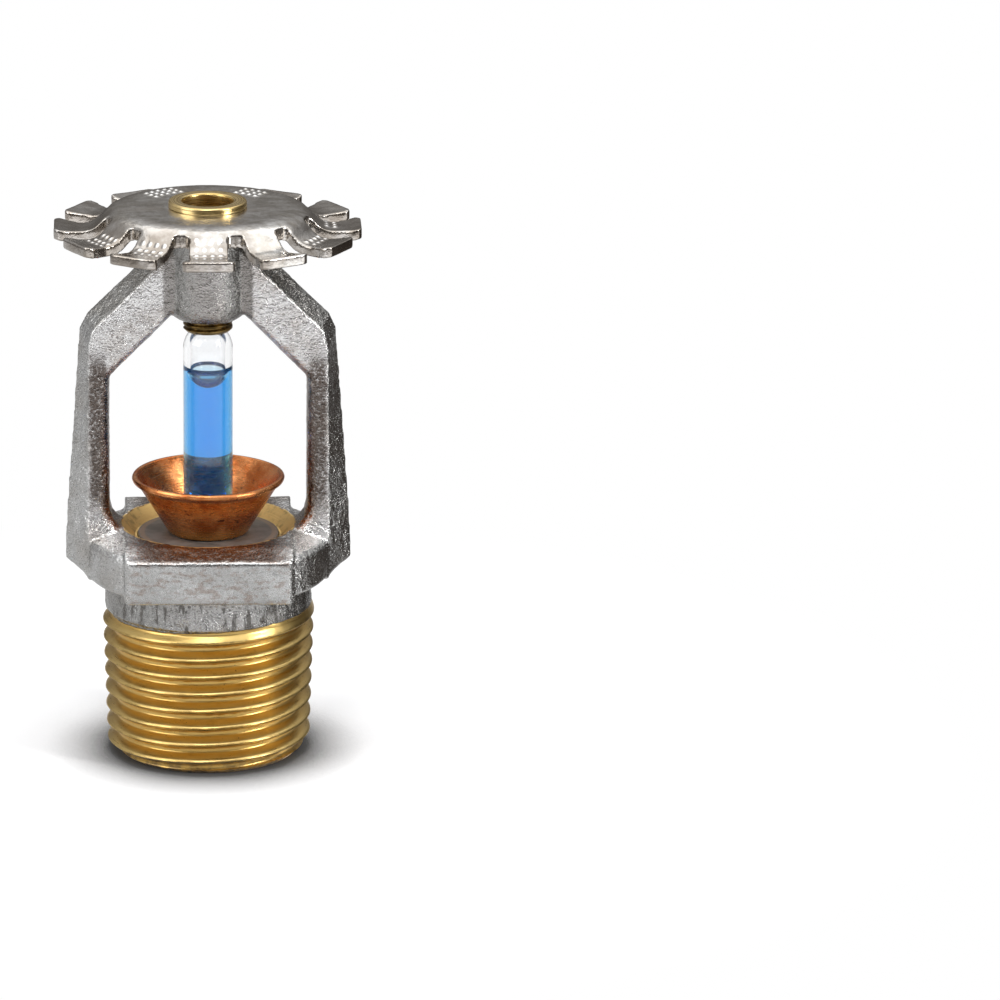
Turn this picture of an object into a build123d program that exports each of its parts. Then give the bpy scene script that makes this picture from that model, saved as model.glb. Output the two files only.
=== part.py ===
from build123d import *
import os
from math import acos, degrees, radians, sin, sqrt, tan

os.makedirs("parts", exist_ok=True)

# ---------------------------------------------------------------------------
# Upright glass-bulb fire sprinkler head, half-inch tapered pipe thread.
# Origin: centre of the flat inlet end of the thread.  +Z points from the
# inlet to the deflector.  The two yoke arms stand at -X and +X, the wrench
# flats face -Y and +Y.  All sizes are in millimetres, angles in degrees.
# ---------------------------------------------------------------------------

FIT = 0.012  # gap kept between nested pieces
OVERCUT = 1.0  # how far a cut runs past the face it opens through

# --- tapered pipe thread, 14 threads per inch, taper 1:16 on diameter -------
THREAD_PITCH = 25.4 / 14
THREAD_MAJOR_R0 = 10.357  # crest radius at the inlet face
THREAD_TAPER = 1 / 32  # radius gained per unit of length
THREAD_CONE_ANGLE = 1.79  # the same taper as an angle, for the helix
THREAD_TOP_Z = 14.9
THREAD_DEPTH = 1.16
THREAD_TURNS = 8.25
THREAD_PHASE_Z = 1.1  # height of the groove on the +X side after one turn
THREAD_CHAMFER = 1.3  # on radius, at the inlet end
THREAD_CHAMFER_Z = 1.25  # where the chamfer meets the crests

# --- neck, round flange and wrench flats ------------------------------------
NECK_R = 10.55
NECK_Z = 15.3
BLOCK_Z0 = 18.55
BLOCK_Z1 = 23.15
CROWN_Z = 23.9  # top of the crown at its inner edge
CROWN_R = 8.9
FLANGE_R = 12.45
FLAT_HALF_W = 8.5  # half the width of a wrench flat
FLAT_Y = 11.5  # the flats are 23.0 apart
FLAT_CORNER = 0.5
CUTBACK_INSET = 0.3  # the flange is cut this far inside the flats
CUTBACK_W = 6.0
CUTBACK_L = 30.0

# --- waterway and seat ------------------------------------------------------
INLET_R = 7.6
INLET_CHAMFER = 0.5
ORIFICE_R = 6.35
ORIFICE_Z = 13.3  # where the tapered inlet narrows to the orifice
SEAT_LEDGE_Z = 22.05
SEAT_POCKET_R = 7.25
SEAT_CONE_Z = 22.65
SEAT_CONE_R = 7.45
SEAT_CONE_SLOPE = 1.08  # radius gained per unit of height
SEAT_CONE_H = 2.2
SEAT_CLEAR_H = 6.0  # height of the cut above the foot of the cone

# --- yoke arms --------------------------------------------------------------
ARM_IN_X = 10.0  # inner edge of the window
ARM_HALF_T = 2.45
ARM_APEX_Z0 = 20.25  # where the ridge of the arm's back reaches its full width
ARM_NOSE_R = 1.35

# Each station is a plane across the arm: (x, z) of its origin, outward
# direction (x, z), then the inner edge, crease and ridge measured along that
# direction, the half thickness and the radius of the inner nose.
ARM_STATIONS = [
    ((ARM_IN_X, 18.5), (1, 0), -3.0, 2.2, 2.5, 2.6, 0.8),
    ((ARM_IN_X, ARM_APEX_Z0), (1, 0), -3.0, 2.2, 4.6, 2.6, 0.8),
    ((ARM_IN_X, 23.55), (1, 0), -1.7, 2.2, 4.45, 2.9, 1.0),
    ((ARM_IN_X, 24.25), (1, 0), -0.85, 2.2, 4.4, 2.65, 1.2),
    ((ARM_IN_X, 25.05), (1, 0), -0.3, 2.2, 4.35, 2.5, ARM_NOSE_R),
    ((ARM_IN_X, 26.15), (1, 0), 0.0, 2.2, 4.3, ARM_HALF_T, ARM_NOSE_R),
    ((10.0, 39.35), (2.97, 5.1), 0.0, 4.14, 5.90, ARM_HALF_T, ARM_NOSE_R),
    ((9.88, 39.77), (2.35, 6.18), 0.0, 5.12, 6.61, ARM_HALF_T, ARM_NOSE_R),
    ((1.6, 48.3), (0, 1), 0.0, 6.35, 8.25, ARM_HALF_T, 1.0),
]

# --- boss -------------------------------------------------------------------
BOSS_R = 4.1
BOSS_Z0 = 45.45
BOSS_Z1 = 55.98
BOSS_STOCK = 0.6  # extra height, cut off flush with the arm tips
BOSS_TRIM_R = 9.0
BOSS_TRIM_H = 3.0

# --- load screw, fine 0.5 mm thread -----------------------------------------
SCREW_R = 2.5
SCREW_PITCH = 0.5
SCREW_TURNS = 17
SCREW_GROOVE_Z = 0.22  # start of the groove above the screw's lower end
SCREW_Z0 = 44.2
SCREW_Z1 = 53.25
SCREW_LOWER_CHAMFER = 0.28
SCREW_UPPER_CHAMFER = 0.3
SCREW_BORE_R = 2.54
SCREW_CONE_R = 1.9
SCREW_HEX_AF = 2.5
SCREW_HEX_DEPTH = 3.0

# --- deflector --------------------------------------------------------------
DEFL_TOP_Z = 57.05
DEFL_T = 1.05
DEFL_R = 15.45  # to the middle of a tine's straight edge
DEFL_HOLE_R = 3.16
DEFL_TINES = 12
SLOT_ROOT_CORNER_R = 0.45
TINE_CORNER_R = 0.7

# (radius, height above the flat top face), running outwards
DEFL_TOP = [
    (8.0, 0.0), (9.2, -0.12), (10.1, -0.45),
    (11.0, -1.30), (11.65, -1.83), (12.4, -2.08),
    (13.3, -2.10), (14.4, -1.95), (16.2, -1.62),
]
# the same columns for the underside, running inwards; each height is that of
# the matching top point less the drop to the underside
DEFL_BOTTOM = [
    (16.4, -1.62 - 1.04), (14.55, -1.95 - 1.05), (13.25, -2.10 - 1.05),
    (12.2, -2.08 - 1.03), (11.05, -1.83 - 0.88), (10.25, -1.30 - 0.76),
    (9.45, -0.45 - 0.90), (8.85, -0.12 - 1.03), (8.0, -DEFL_T),
]
# (radius, half width) of a slot between tines, from its root outwards
SLOT_SIDE = [
    (10.1, 0.90), (10.9, 0.95), (11.9, 1.22), (12.9, 1.46),
    (13.8, 1.43), (14.8, 1.22), (17.0, 0.75),
]

# --- bushing ----------------------------------------------------------------
BUSH_SHANK_R = 3.13
BUSH_HEAD_R = 3.95
BUSH_HEAD_H = 0.67
BUSH_BORE_R = 2.6
BUSH_SHANK_Z0 = 53.95
BUSH_END_GAP = 0.05  # between the shank and the counterbore's floor
COUNTERBORE_CUT_H = 4.0

# --- bulb -------------------------------------------------------------------
BULB_R = 2.5
BULB_WALL = 0.7
BULB_BORE_R = BULB_R - BULB_WALL
BULB_DOME_Z = 42.38  # centre of the top dome
BULB_FOOT_Z = 27.35  # centre of the bottom dome
PIP_TIP_Z = 24.1
PIP_ROOT_R = 0.75  # where the pip meets the bottom dome
MENISCUS_Z = 40.9  # centre of the ellipse the liquid's surface follows
MENISCUS_DIP = 2.6  # how far that ellipse dips at the middle
MENISCUS_OVER = 0.03  # how much wider than the liquid the ellipse is
CONE_HALF_ANGLE = radians(60)  # of the two hollow cones that hold the bulb

# --- pip cap and its insert -------------------------------------------------
CAP_RIM_R = 7.75
CAP_RIM_Z = 28.75
CAP_BASE_R = 4.3
CAP_BASE_Z = 23.07
CAP_WALL = 0.5
CAP_NOSE_R = 3.0
CAP_NOSE_Z = 20.95
CAP_LIP_R = CAP_NOSE_R + 0.45
CAP_BORE_R = CAP_NOSE_R - CAP_WALL
CAP_CAVITY_Z = CAP_NOSE_Z + CAP_WALL
CAP_RISE = CAP_RIM_Z - CAP_BASE_Z
CAP_SPREAD = CAP_RIM_R - CAP_BASE_R
CAP_SLANT = sqrt(CAP_SPREAD**2 + CAP_RISE**2)
CAP_FLOOR_Z = CAP_BASE_Z + CAP_WALL
# radius at the floor of the cone wall's inner face, which is the outer face
# moved inwards by the wall thickness, square to the slope
CAP_INNER_DR = -CAP_RISE / CAP_SLANT * CAP_WALL
CAP_INNER_DZ = CAP_SPREAD / CAP_SLANT * CAP_WALL
CAP_FLOOR_R = (
    CAP_BASE_R + CAP_INNER_DR + (CAP_WALL - CAP_INNER_DZ) * CAP_SPREAD / CAP_RISE
)
INSERT_TOP_Z = 25.55
INSERT_HOLE_R = 0.85
INSERT_HOLE_Z = 23.75  # floor of the hole
DIMPLE_GAP = 0.02  # the dimple's cone lies this far below a touching one

# --- seal -------------------------------------------------------------------
SEAL_R = 7.15
SEAL_HOLE_R = 3.05
FILM_T = 0.13
SPRING_T = 0.55
SEAL_CONE_H = 0.10  # height the inner edge stands above the outer
FILM_LOWER_Z = SEAT_LEDGE_Z + FIT
SPRING_Z = FILM_LOWER_Z + FILM_T + FIT
FILM_UPPER_Z = SPRING_Z + SPRING_T + FIT


def thread_r(z):
    """Crest radius of the tapered thread at a height above the inlet."""
    return THREAD_MAJOR_R0 + z * THREAD_TAPER


def mirrored(points):
    """The points reflected in the first axis, in reverse order."""
    return [(x, -y) for x, y in reversed(points)]


def dome_points(radius, centre_z, up):
    """Rim, middle and pole of a quarter circle; up is 1 or -1."""
    diagonal = radius * sqrt(0.5)
    return [
        (radius, centre_z),
        (diagonal, centre_z + up * diagonal),
        (0, centre_z + up * radius),
    ]


def turned(*profile):
    """Solid of revolution about Z from a closed outline of (radius, z)."""
    with BuildPart() as solid:
        with BuildSketch(Plane.XZ):
            with BuildLine():
                Polyline(*profile, close=True)
            make_face()
        revolve(axis=Axis.Z)
    return solid.part


def build_frame():
    """Thread, neck, flange, arms and boss in one casting."""
    with BuildPart() as frame:
        # turned body: thread blank, neck, round flange and crowned top
        with BuildSketch(Plane.XZ):
            with BuildLine():
                Polyline(
                    (0, 0),
                    (thread_r(0) - THREAD_CHAMFER, 0),
                    (thread_r(THREAD_CHAMFER_Z), THREAD_CHAMFER_Z),
                    (thread_r(THREAD_TOP_Z), THREAD_TOP_Z),
                    (NECK_R, NECK_Z),
                    (NECK_R, BLOCK_Z0 - 0.35),
                    (NECK_R + 0.35, BLOCK_Z0),
                    (FLANGE_R - 0.45, BLOCK_Z0),
                    (FLANGE_R, BLOCK_Z0 + 0.45),
                    (FLANGE_R, CROWN_Z - 1.51),
                    (FLANGE_R - 0.5, CROWN_Z - 1.03),
                    (CROWN_R, CROWN_Z),
                    (0, CROWN_Z),
                    close=True,
                )
            make_face()
        revolve(axis=Axis.Z)

        # the round flange is cut back where the bar with the wrench flats goes
        cutback_y = FLAT_Y - CUTBACK_INSET + CUTBACK_W / 2
        with BuildSketch(Plane.XY.offset(BLOCK_Z0 - 0.5)):
            with Locations((0, cutback_y), (0, -cutback_y)):
                Rectangle(CUTBACK_L, CUTBACK_W)
        extrude(amount=BLOCK_Z1 - BLOCK_Z0 + 1, mode=Mode.SUBTRACT)

        # the two wrench flats, as one bar across the flange
        with BuildSketch(Plane.YZ):
            with BuildLine():
                Polyline(
                    (-FLAT_Y, BLOCK_Z0 + 0.25),
                    (-FLAT_Y, BLOCK_Z1 - 0.25),
                    (-FLAT_Y + 0.3, BLOCK_Z1),
                    (-CROWN_R, CROWN_Z),
                    (CROWN_R, CROWN_Z),
                    (FLAT_Y - 0.3, BLOCK_Z1),
                    (FLAT_Y, BLOCK_Z1 - 0.25),
                    (FLAT_Y, BLOCK_Z0 + 0.25),
                    (FLAT_Y - 0.25, BLOCK_Z0),
                    (-FLAT_Y + 0.25, BLOCK_Z0),
                    close=True,
                )
            make_face()
        extrude(amount=FLAT_HALF_W, both=True)
        flat_corners = (
            frame.edges()
            .filter_by(Axis.Z)
            .filter_by(lambda edge: abs(abs(edge.center().Y) - FLAT_Y) < 0.05)
        )
        chamfer(flat_corners, length=FLAT_CORNER)

        # the two yoke arms, each lofted through its stations
        for side in (-1, 1):
            for (x, z), (dx, dz), inner, crease, ridge, half_t, nose_r in ARM_STATIONS:
                length = sqrt(dx * dx + dz * dz)
                station = Plane(
                    origin=(side * x, 0, z),
                    x_dir=(side * dx / length, 0, dz / length),
                    z_dir=(-dz / length, 0, side * dx / length),
                )
                with BuildSketch(station) as arm_section:
                    with BuildLine():
                        Polyline(
                            (inner, -half_t),
                            (crease, -half_t),
                            (ridge, 0),
                            (crease, half_t),
                            (inner, half_t),
                            close=True,
                        )
                    make_face()
                    fillet(arm_section.vertices().group_by(Axis.X)[0], radius=nose_r)
            loft(ruled=True)

        # boss where the arms meet, rounded underneath
        with BuildSketch(Plane.XZ):
            with BuildLine():
                boss_under = ThreePointArc(
                    (2.9, BOSS_Z0), (3.78, BOSS_Z0 + 0.72), (BOSS_R, BOSS_Z0 + 2.1)
                )
                Polyline(
                    boss_under @ 1,
                    (BOSS_R, BOSS_Z1 + BOSS_STOCK),
                    (0, BOSS_Z1 + BOSS_STOCK),
                    (0, BOSS_Z0),
                    boss_under @ 0,
                )
            make_face()
        revolve(axis=Axis.Z)

        # flat top that the deflector sits on
        with BuildSketch(Plane.XY.offset(BOSS_Z1)):
            Circle(BOSS_TRIM_R)
        extrude(amount=BOSS_TRIM_H, mode=Mode.SUBTRACT)

        # bore for the load screw and counterbore for the bushing
        with BuildSketch(Plane.XY.offset(BOSS_Z0 - OVERCUT)):
            Circle(SCREW_BORE_R)
        extrude(amount=BOSS_Z1 - BOSS_Z0 + 2 * OVERCUT, mode=Mode.SUBTRACT)
        with BuildSketch(Plane.XY.offset(BUSH_SHANK_Z0 - BUSH_END_GAP)):
            Circle(BUSH_SHANK_R + FIT)
        extrude(amount=COUNTERBORE_CUT_H, mode=Mode.SUBTRACT)

        # waterway, seat ledge, seat pocket and the cone round it
        cone_top_r = SEAT_CONE_R + SEAT_CONE_SLOPE * SEAT_CONE_H
        with BuildSketch(Plane.XZ):
            with BuildLine():
                Polyline(
                    (0, -OVERCUT),
                    (INLET_R + INLET_CHAMFER, -OVERCUT),
                    (INLET_R + INLET_CHAMFER, 0),
                    (INLET_R, INLET_CHAMFER),
                    (ORIFICE_R, ORIFICE_Z),
                    (ORIFICE_R, SEAT_LEDGE_Z - 0.25),
                    (ORIFICE_R + 0.12, SEAT_LEDGE_Z),
                    (SEAT_POCKET_R, SEAT_LEDGE_Z),
                    (SEAT_POCKET_R, SEAT_CONE_Z),
                    (SEAT_CONE_R, SEAT_CONE_Z),
                    (cone_top_r, SEAT_CONE_Z + SEAT_CONE_H),
                    (cone_top_r, SEAT_CONE_Z + SEAT_CLEAR_H),
                    (0, SEAT_CONE_Z + SEAT_CLEAR_H),
                    close=True,
                )
            make_face()
        revolve(axis=Axis.Z, mode=Mode.SUBTRACT)

        # right-hand groove of the tapered thread: starts at +X one pitch
        # below the phase height and ends at +Y
        groove_z0 = THREAD_PHASE_Z - THREAD_PITCH
        with BuildLine():
            groove_path = Helix(
                pitch=THREAD_PITCH,
                height=THREAD_TURNS * THREAD_PITCH,
                radius=thread_r(groove_z0),
                center=(0, 0, groove_z0),
                cone_angle=THREAD_CONE_ANGLE,
            )
        # (distance outside the crests, half width of the groove)
        groove_side = [
            (0.30, 0.885),
            (0.0, 0.865),
            (-0.05, 0.80),
            (-0.16, 0.71),
            (-THREAD_DEPTH + 0.12, 0.22),
            (-THREAD_DEPTH, 0.06),
        ]
        with BuildSketch(
            Plane(origin=groove_path @ 0, x_dir=(1, 0, 0), z_dir=groove_path % 0)
        ):
            with BuildLine():
                Polyline(*groove_side, *mirrored(groove_side), close=True)
            make_face()
        sweep(path=groove_path, is_frenet=True, mode=Mode.SUBTRACT)
    return frame.part


def build_deflector():
    """Pressed disc with twelve tines parted by bulging slots."""
    other_side = mirrored(SLOT_SIDE)
    with BuildSketch(Plane.XY) as slot_shape:
        with BuildLine():
            Spline(*SLOT_SIDE)
            Line(SLOT_SIDE[-1], other_side[0])
            Spline(*other_side)
            Line(other_side[-1], SLOT_SIDE[0])
        make_face()
        fillet(slot_shape.vertices().group_by(Axis.X)[0], radius=SLOT_ROOT_CORNER_R)

    half_tine_angle = 180 / DEFL_TINES
    with BuildPart() as deflector:
        with BuildSketch(
            Plane(origin=(0, 0, DEFL_TOP_Z), x_dir=(1, 0, 0), z_dir=(0, -1, 0))
        ):
            with BuildLine():
                Line((DEFL_HOLE_R, 0), DEFL_TOP[0])
                Spline(*DEFL_TOP, tangents=((1, 0), (1, 0.19)))
                Line(DEFL_TOP[-1], DEFL_BOTTOM[0])
                Spline(*DEFL_BOTTOM, tangents=((-1, -0.17), (-1, 0)))
                Polyline(DEFL_BOTTOM[-1], (DEFL_HOLE_R, -DEFL_T), (DEFL_HOLE_R, 0))
            make_face()
        revolve(axis=Axis.Z)

        # the plan outline, tall enough to span the disc, trims it to tines
        with BuildSketch(Plane.XY.offset(DEFL_TOP_Z - 5)) as outline:
            RegularPolygon(
                radius=DEFL_R,
                side_count=DEFL_TINES,
                major_radius=False,
                rotation=half_tine_angle,
            )
            with PolarLocations(0, DEFL_TINES, start_angle=half_tine_angle):
                add(slot_shape.sketch, mode=Mode.SUBTRACT)
            tine_corners = outline.vertices().filter_by(
                lambda corner: sqrt(corner.X**2 + corner.Y**2) > DEFL_R - 0.25
            )
            fillet(tine_corners, radius=TINE_CORNER_R)
        extrude(amount=10, mode=Mode.INTERSECT)
    return deflector.part


def build_deflector_bushing():
    """Collar that clamps the deflector to the boss."""
    head_z0 = DEFL_TOP_Z + FIT
    head_z1 = head_z0 + BUSH_HEAD_H
    return turned(
        (BUSH_BORE_R, BUSH_SHANK_Z0),
        (BUSH_SHANK_R - 0.15, BUSH_SHANK_Z0),
        (BUSH_SHANK_R, BUSH_SHANK_Z0 + 0.15),
        (BUSH_SHANK_R, head_z0),
        (BUSH_HEAD_R, head_z0),
        (BUSH_HEAD_R, head_z1 - 0.22),
        (BUSH_HEAD_R - 0.22, head_z1),
        (BUSH_BORE_R + 0.25, head_z1),
        (BUSH_BORE_R, head_z1 - 0.25),
    )


def build_load_screw():
    """Fine thread, hexagon socket on top, cup point underneath."""
    with BuildPart() as load_screw:
        cup_apex_z = SCREW_Z0 + SCREW_CONE_R / tan(CONE_HALF_ANGLE)
        with BuildSketch(Plane.XZ):
            with BuildLine():
                Polyline(
                    (0, cup_apex_z),
                    (SCREW_CONE_R, SCREW_Z0),
                    (SCREW_R - SCREW_LOWER_CHAMFER, SCREW_Z0),
                    (SCREW_R, SCREW_Z0 + SCREW_LOWER_CHAMFER),
                    (SCREW_R, SCREW_Z1 - SCREW_UPPER_CHAMFER),
                    (SCREW_R - SCREW_UPPER_CHAMFER, SCREW_Z1),
                    (0, SCREW_Z1),
                    close=True,
                )
            make_face()
        revolve(axis=Axis.Z)

        # hexagon socket
        with BuildSketch(Plane.XY.offset(SCREW_Z1 - SCREW_HEX_DEPTH)):
            RegularPolygon(radius=SCREW_HEX_AF / 2, side_count=6, major_radius=False)
        extrude(amount=SCREW_HEX_DEPTH + OVERCUT, mode=Mode.SUBTRACT)

        # thread groove
        with BuildLine():
            screw_path = Helix(
                pitch=SCREW_PITCH,
                height=SCREW_PITCH * SCREW_TURNS,
                radius=SCREW_R,
                center=(0, 0, SCREW_Z0 + SCREW_GROOVE_Z),
            )
        # (distance outside the crests, half width of the groove)
        groove_side = [(0.1, 0.215), (0.0, 0.20), (-0.27, 0.04)]
        with BuildSketch(
            Plane(origin=screw_path @ 0, x_dir=(1, 0, 0), z_dir=screw_path % 0)
        ):
            with BuildLine():
                Polyline(*groove_side, *mirrored(groove_side), close=True)
            make_face()
        sweep(path=screw_path, is_frenet=True, mode=Mode.SUBTRACT)
    return load_screw.part


def build_bulb_glass():
    """Hollow barrel with domed ends and a solid pip underneath."""
    pip_root = (PIP_ROOT_R, BULB_FOOT_Z - sqrt(BULB_R**2 - PIP_ROOT_R**2))
    outer_foot = dome_points(BULB_R, BULB_FOOT_Z, -1)
    outer_dome = dome_points(BULB_R, BULB_DOME_Z, 1)
    inner_dome = dome_points(BULB_BORE_R, BULB_DOME_Z, 1)
    inner_foot = dome_points(BULB_BORE_R, BULB_FOOT_Z, -1)
    with BuildPart() as bulb_glass:
        with BuildSketch(Plane.XZ):
            with BuildLine():
                pip = ThreePointArc((0, PIP_TIP_Z), (0.45, 24.28), (0.62, 24.7))
                Line(pip @ 1, pip_root)
                ThreePointArc(pip_root, outer_foot[1], outer_foot[0])
                Line(outer_foot[0], outer_dome[0])
                ThreePointArc(*outer_dome)
                Line(outer_dome[-1], inner_dome[-1])
                ThreePointArc(*reversed(inner_dome))
                Line(inner_dome[0], inner_foot[0])
                ThreePointArc(*inner_foot)
                Line(inner_foot[-1], (0, PIP_TIP_Z))
            make_face()
        revolve(axis=Axis.Z)
    return bulb_glass.part


def build_bulb_liquid():
    """Liquid in the bulb, with a dished upper surface."""
    liquid_r = BULB_BORE_R - FIT
    surface_r = liquid_r + MENISCUS_OVER
    foot = dome_points(liquid_r, BULB_FOOT_Z, -1)
    with BuildPart() as bulb_liquid:
        with BuildSketch(Plane.XZ):
            with BuildLine():
                ThreePointArc(*reversed(foot))
                surface = EllipticalCenterArc(
                    (0, MENISCUS_Z),
                    surface_r,
                    MENISCUS_DIP,
                    start_angle=270,
                    arc_size=90 - degrees(acos(liquid_r / surface_r)),
                )
                Line(foot[0], surface @ 1)
                Line(surface @ 0, foot[-1])
            make_face()
        revolve(axis=Axis.Z)
    return bulb_liquid.part


def build_pip_cap():
    """Thin conical cup with a rolled rim and a closed, lipped nose."""
    return turned(
        # nose, with the lip below the seal
        (0, CAP_NOSE_Z),
        (CAP_LIP_R - 0.2, CAP_NOSE_Z),
        (CAP_LIP_R, CAP_NOSE_Z + 0.2),
        (CAP_LIP_R, CAP_NOSE_Z + 0.55),
        (CAP_NOSE_R, CAP_NOSE_Z + 0.95),
        (CAP_NOSE_R, CAP_BASE_Z),
        # outside of the cone and the rim
        (CAP_BASE_R - 0.35, CAP_BASE_Z),
        (CAP_BASE_R - 0.02, CAP_BASE_Z + 0.22),
        (CAP_RIM_R - 0.36, CAP_RIM_Z - 0.55),
        (CAP_RIM_R - 0.13, CAP_RIM_Z - 0.36),
        (CAP_RIM_R + 0.02, CAP_RIM_Z - 0.14),
        (CAP_RIM_R, CAP_RIM_Z + 0.08),
        (CAP_RIM_R - 0.17, CAP_RIM_Z + 0.22),
        (CAP_RIM_R - 0.42, CAP_RIM_Z + 0.20),
        (CAP_RIM_R - 0.66, CAP_RIM_Z - 0.06),
        # floor and the inside of the nose
        (CAP_FLOOR_R, CAP_FLOOR_Z),
        (CAP_BORE_R, CAP_FLOOR_Z),
        (CAP_BORE_R, CAP_CAVITY_Z),
        (0, CAP_CAVITY_Z),
    )


def build_pip_cap_insert():
    """Seat in the bottom of the cup, with a dimple and a hole for the pip."""
    slope = tan(CONE_HALF_ANGLE)
    dimple_apex_z = BULB_FOOT_Z - BULB_R / sin(CONE_HALF_ANGLE) - DIMPLE_GAP
    plug_r = CAP_BORE_R - FIT
    body_r = CAP_FLOOR_R + 0.05
    return turned(
        (0, CAP_CAVITY_Z + FIT),
        (plug_r, CAP_CAVITY_Z + FIT),
        (plug_r, CAP_FLOOR_Z + FIT),
        (CAP_FLOOR_R - 0.15, CAP_FLOOR_Z + FIT),
        (body_r, CAP_FLOOR_Z + 0.5),
        (body_r, INSERT_TOP_Z - 0.3),
        (body_r - 0.3, INSERT_TOP_Z),
        ((INSERT_TOP_Z - dimple_apex_z) * slope, INSERT_TOP_Z),
        (INSERT_HOLE_R, dimple_apex_z + INSERT_HOLE_R / slope),
        (INSERT_HOLE_R, INSERT_HOLE_Z),
        (0, INSERT_HOLE_Z),
    )


def build_seal_ring(outer_z, thickness):
    """Coned washer; outer_z is the underside at its outer edge."""
    inner_z = outer_z + SEAL_CONE_H
    return turned(
        (SEAL_HOLE_R, inner_z),
        (SEAL_R, outer_z),
        (SEAL_R, outer_z + thickness),
        (SEAL_HOLE_R, inner_z + thickness),
    )


pieces = {
    "frame": build_frame(),
    "deflector": build_deflector(),
    "deflector_bushing": build_deflector_bushing(),
    "load_screw": build_load_screw(),
    "bulb_glass": build_bulb_glass(),
    "bulb_liquid": build_bulb_liquid(),
    "pip_cap": build_pip_cap(),
    "pip_cap_insert": build_pip_cap_insert(),
    # the seal: a disc spring between two films, round the nose of the cap
    "seal_spring": build_seal_ring(SPRING_Z, SPRING_T),
    "seal_film_upper": build_seal_ring(FILM_UPPER_Z, FILM_T),
    "seal_film_lower": build_seal_ring(FILM_LOWER_Z, FILM_T),
}
for name, piece in pieces.items():
    piece.label = name
    export_step(piece, f"parts/{name}.step")
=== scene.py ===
import bpy
import bmesh
import math
import numpy as np
from contextlib import contextmanager
from functools import cached_property
from mathutils import Matrix, Vector, noise


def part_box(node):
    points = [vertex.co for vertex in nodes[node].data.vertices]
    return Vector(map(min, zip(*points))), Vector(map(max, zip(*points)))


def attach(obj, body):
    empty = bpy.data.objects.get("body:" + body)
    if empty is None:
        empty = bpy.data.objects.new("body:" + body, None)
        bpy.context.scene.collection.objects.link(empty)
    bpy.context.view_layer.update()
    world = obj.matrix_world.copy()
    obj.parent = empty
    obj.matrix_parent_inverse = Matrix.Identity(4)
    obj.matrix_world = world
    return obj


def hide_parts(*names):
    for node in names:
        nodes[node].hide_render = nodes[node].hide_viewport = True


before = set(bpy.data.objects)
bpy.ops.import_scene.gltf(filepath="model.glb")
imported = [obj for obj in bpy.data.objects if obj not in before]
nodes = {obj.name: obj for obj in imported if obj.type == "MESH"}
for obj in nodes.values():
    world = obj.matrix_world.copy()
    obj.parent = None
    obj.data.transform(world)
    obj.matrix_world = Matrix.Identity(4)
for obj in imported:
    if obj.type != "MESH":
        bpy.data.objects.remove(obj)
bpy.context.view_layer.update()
MM = 0.001
scene = bpy.context.scene


# --------------------------------------------------------------------------
# mesh helpers
# --------------------------------------------------------------------------
@contextmanager
def editing(mesh):
    """Opens a mesh for editing and writes it back afterwards."""
    edit = bmesh.new()
    edit.from_mesh(mesh)
    yield edit
    edit.to_mesh(mesh)
    edit.free()


def add_object(name, mesh):
    piece = bpy.data.objects.new(name, mesh)
    scene.collection.objects.link(piece)
    return piece


def set_smooth(piece):
    faces = piece.data.polygons
    faces.foreach_set("use_smooth", [True] * len(faces))


def new_object(name, verts, faces):
    mesh = bpy.data.meshes.new(name)
    mesh.from_pydata([tuple(MM * c for c in v) for v in verts], [], faces)
    mesh.update()
    with editing(mesh) as edit:
        bmesh.ops.recalc_face_normals(edit, faces=edit.faces)
    piece = add_object(name, mesh)
    set_smooth(piece)
    return piece


def copy_of(node, name):
    """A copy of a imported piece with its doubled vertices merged."""
    piece = add_object(name, nodes[node].data.copy())
    with editing(piece.data) as edit:
        bmesh.ops.remove_doubles(edit, verts=edit.verts, dist=1e-7)
    return piece


def rounded(points, arc_steps):
    """A closed outline of (r, z) or (r, z, radius): a corner with a radius becomes an arc."""
    out = []
    for i, point in enumerate(points):
        radius = point[2] if len(point) > 2 else 0
        corner = Vector((point[0], point[1]))
        if radius <= 0:
            out.append((corner.x, corner.y))
            continue
        back = Vector(points[i - 1][:2]) - corner
        ahead = Vector(points[(i + 1) % len(points)][:2]) - corner
        back_way = back.normalized()
        ahead_way = ahead.normalized()
        half = math.acos(max(-1, min(1, back_way.dot(ahead_way)))) / 2
        cut = min(radius / max(math.tan(half), 1e-3), back.length * 0.48, ahead.length * 0.48)
        start = corner + back_way * cut
        end = corner + ahead_way * cut
        for k in range(arc_steps + 1):
            t = k / arc_steps
            mid = start * (1 - t) ** 2 + corner * 2 * t * (1 - t) + end * t**2
            out.append((mid.x, mid.y))
    return out


def dense(outline, step):
    """Adds points so that no side of the outline is longer than step."""
    out = []
    count = len(outline)
    for i in range(count):
        here, ahead = outline[i], outline[(i + 1) % count]
        if i == count - 1 and here[0] < 1e-6 and ahead[0] < 1e-6:
            out.append(here)
            break
        length = math.hypot(ahead[0] - here[0], ahead[1] - here[1])
        parts = max(1, int(math.ceil(length / step)))
        for j in range(parts):
            t = j / parts
            out.append((here[0] + (ahead[0] - here[0]) * t, here[1] + (ahead[1] - here[1]) * t))
    return out


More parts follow.
